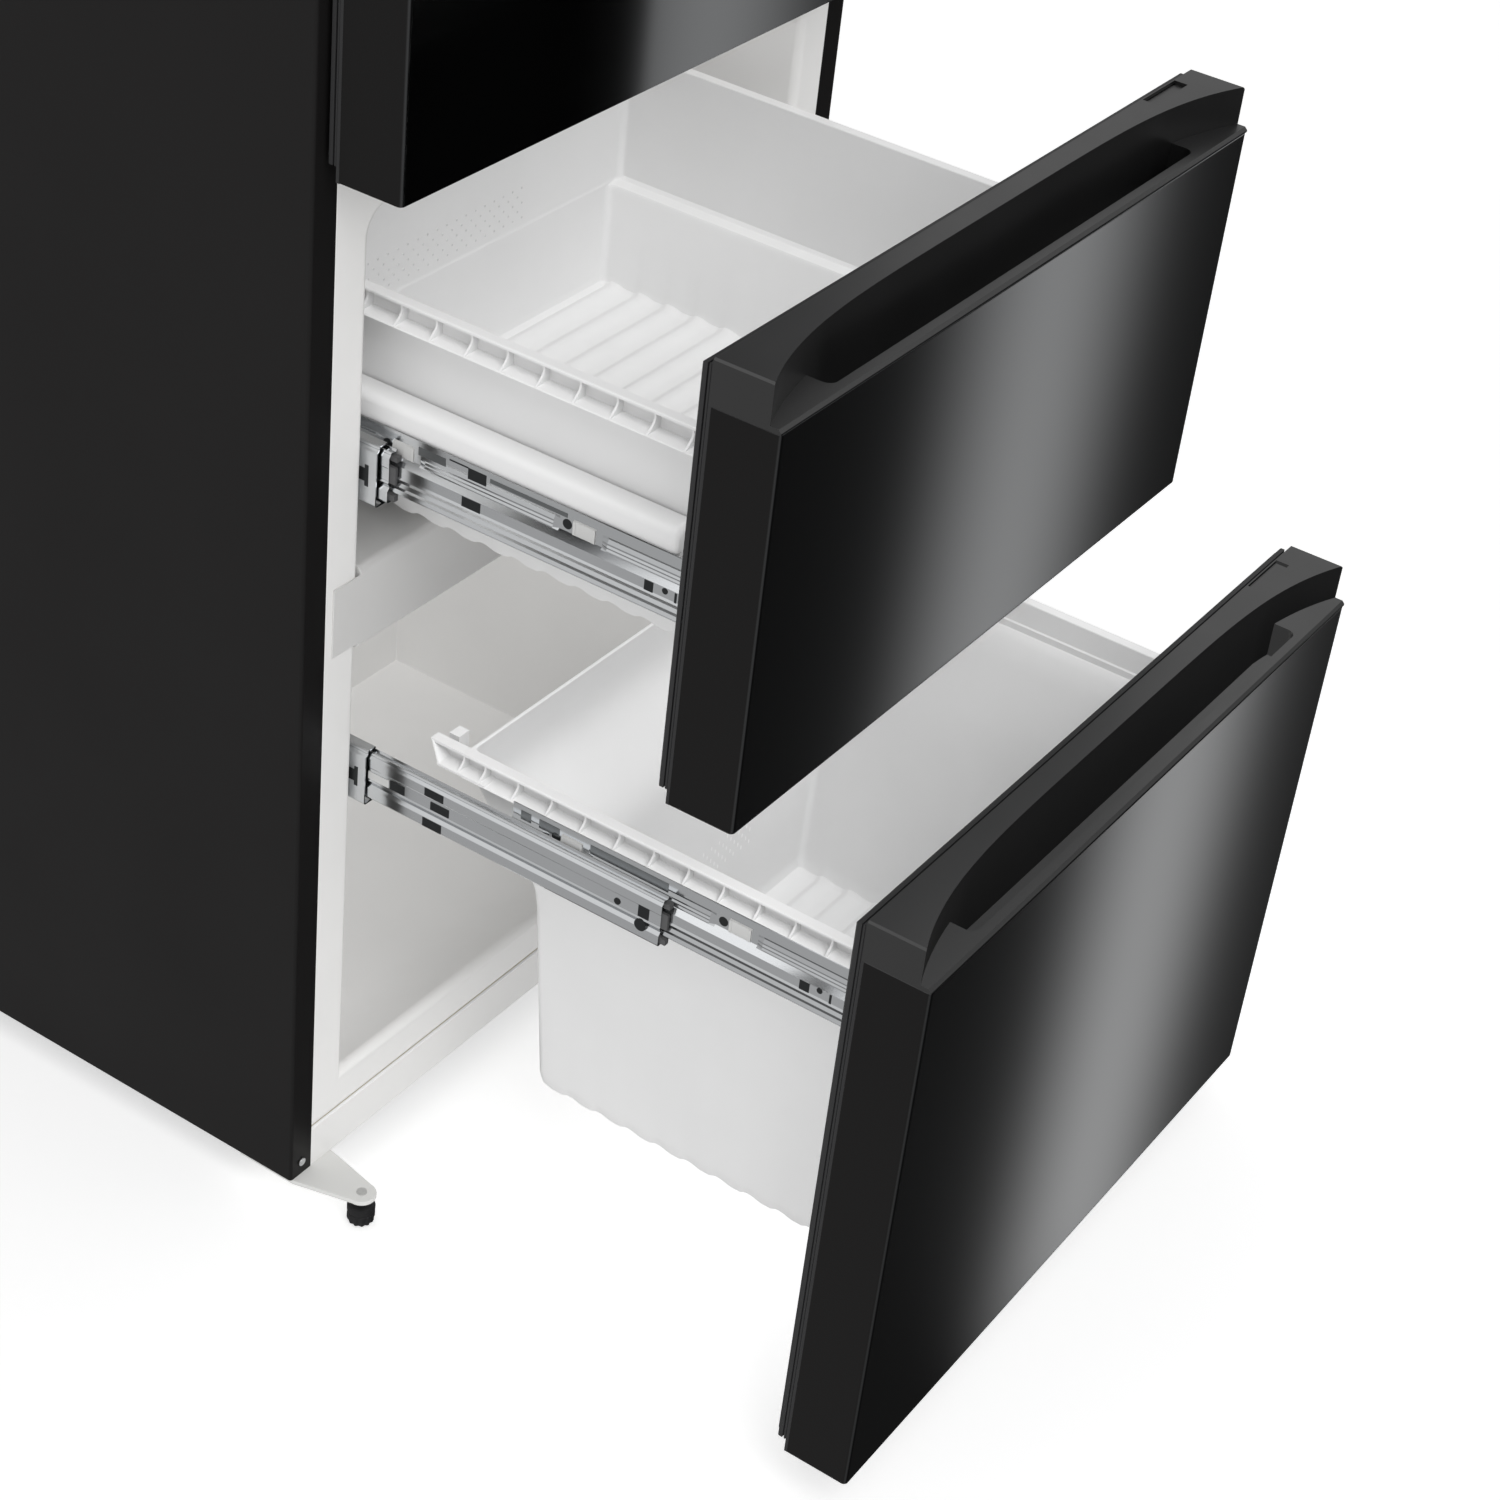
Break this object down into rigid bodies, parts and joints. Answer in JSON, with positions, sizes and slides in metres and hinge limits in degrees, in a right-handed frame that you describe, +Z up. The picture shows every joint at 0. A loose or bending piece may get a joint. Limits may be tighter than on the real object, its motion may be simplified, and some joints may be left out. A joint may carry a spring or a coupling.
{
  "type": "fridge freezer",
  "caption": "Tall fridge freezer with an upper fridge door, freezer drawers with scooped handles and baskets on telescopic slides, shelves, cold circuit, levelling feet and rollers.",
  "frame": {"origin": "on the floor, midway across the cabinet, at its front plane", "axes": "+Z up, the door and the drawers face -Y, +X to the right seen from the front"},
  "size_m": [0.704, 1.1496, 2],
  "materials": {
    "black_cabinet": "matte black coating",
    "black_steel": "black brushed steel",
    "black_plastic": "satin moulded",
    "white_plastic": "satin moulded",
    "gasket_rubber": "soft matte",
    "zinc_steel": "bright zinc plate",
    "shelf_glass": "polished",
    "clear_plastic": "clear moulded",
    "foam": "rigid foam",
    "coil_aluminium": "mill finish",
    "machine_black": "satin black paint"
  },
  "bodies": {
    "cabinet": {"outer_shell": "black_cabinet", "hinge_cover": "black_plastic", "drip_tray": "black_plastic", "freezer_liner": "white_plastic", "fridge_liner": "white_plastic", "freezer_mullion": "white_plastic", "kick_strip": "white_plastic", "evaporator_cover": "white_plastic", "upper_outer_rails": "zinc_steel", "lower_outer_rails": "zinc_steel", "foot_brackets": "zinc_steel", "roller_brackets": "zinc_steel", "top_hinge": "zinc_steel", "middle_hinge": "zinc_steel", "screws": "zinc_steel", "base_plate": "zinc_steel", "back_panel": "zinc_steel", "rear_cover": "zinc_steel", "glass_shelves": "shelf_glass", "crisper_drawers": "clear_plastic", "lamp_cover": "clear_plastic", "foam_insulation": "foam", "condenser": "coil_aluminium", "evaporator_coil": "coil_aluminium", "compressor": "machine_black", "condenser_fan_motor": "machine_black", "evaporator_fan_motor": "machine_black"},
    "fridge_door": {"door_skin": "black_steel", "door_grip": "black_plastic", "door_lower_cap": "black_plastic", "door_upper_cap": "black_plastic", "door_foam_core": "foam", "door_inner_panel": "white_plastic", "door_gasket": "gasket_rubber", "door_bins": "clear_plastic"},
    "upper_drawer": {"upper_drawer_skin": "black_steel", "upper_drawer_handle_trim": "black_plastic", "upper_drawer_end_cap": "black_plastic", "upper_drawer_foam_core": "foam", "upper_drawer_inner_panel": "white_plastic", "upper_drawer_gasket": "gasket_rubber", "upper_basket": "white_plastic", "upper_inner_rails": "zinc_steel", "upper_side_bars": "white_plastic"},
    "upper_middle_slides": {"upper_middle_rails": "zinc_steel"},
    "lower_drawer": {"lower_drawer_skin": "black_steel", "lower_drawer_handle_trim": "black_plastic", "lower_drawer_end_cap": "black_plastic", "lower_drawer_foam_core": "foam", "lower_drawer_inner_panel": "white_plastic", "lower_drawer_gasket": "gasket_rubber", "lower_basket": "white_plastic", "lower_inner_rails": "zinc_steel"},
    "lower_middle_slides": {"lower_middle_rails": "zinc_steel"},
    "condenser_rotor": {"condenser_fan": "black_plastic"},
    "evaporator_rotor": {"evaporator_fan_wheel": "white_plastic"},
    "left_foot": {"levelling_foot_left": "black_plastic"},
    "right_foot": {"levelling_foot_right": "black_plastic"},
    "left_roller": {"rear_roller_left": "black_plastic"},
    "right_roller": {"rear_roller_right": "black_plastic"}
  },
  "joints": [
    {"name": "fridge_door_hinge", "type": "hinge", "parent": "cabinet", "child": "fridge_door", "pos_m": [0.326, -0.04, 1.4825], "axis": [0, 0, 1], "range_deg": [0, 110]},
    {"name": "upper_drawer_slide", "type": "slide", "parent": "cabinet", "child": "upper_drawer", "axis": [0, -1, 0], "range_m": [-0.322, 0.188]},
    {"name": "upper_middle_slide", "type": "slide", "parent": "cabinet", "child": "upper_middle_slides", "axis": [0, -1, 0], "range_m": [-0.1288, 0.0752]},
    {"name": "lower_drawer_slide", "type": "slide", "parent": "cabinet", "child": "lower_drawer", "axis": [0, -1, 0], "range_m": [-0.498, 0.012]},
    {"name": "lower_middle_slide", "type": "slide", "parent": "cabinet", "child": "lower_middle_slides", "axis": [0, -1, 0], "range_m": [-0.30478, 0.00734]},
    {"name": "condenser_fan_spin", "type": "hinge", "parent": "cabinet", "child": "condenser_rotor", "pos_m": [-0.071, 0.5095, 0.14], "axis": [1, 0, 0], "continuous": true},
    {"name": "evaporator_fan_spin", "type": "hinge", "parent": "cabinet", "child": "evaporator_rotor", "pos_m": [0, 0.513, 0.72], "axis": [0, 1, 0], "continuous": true},
    {"name": "left_foot_turn", "type": "hinge", "parent": "cabinet", "child": "left_foot", "pos_m": [-0.322, -0.055, 0.02], "axis": [0, 0, 1], "continuous": true},
    {"name": "right_foot_turn", "type": "hinge", "parent": "cabinet", "child": "right_foot", "pos_m": [0.322, -0.055, 0.02], "axis": [0, 0, 1], "continuous": true},
    {"name": "left_roller_roll", "type": "hinge", "parent": "cabinet", "child": "left_roller", "pos_m": [-0.29, 0.54, 0.013], "axis": [1, 0, 0], "continuous": true},
    {"name": "right_roller_roll", "type": "hinge", "parent": "cabinet", "child": "right_roller", "pos_m": [0.29, 0.54, 0.013], "axis": [1, 0, 0], "continuous": true}
  ],
  "couplings": [
    {"joint": "upper_middle_slide", "follows": "upper_drawer_slide", "ratio": 0.4},
    {"joint": "lower_middle_slide", "follows": "lower_drawer_slide", "ratio": 0.612}
  ]
}
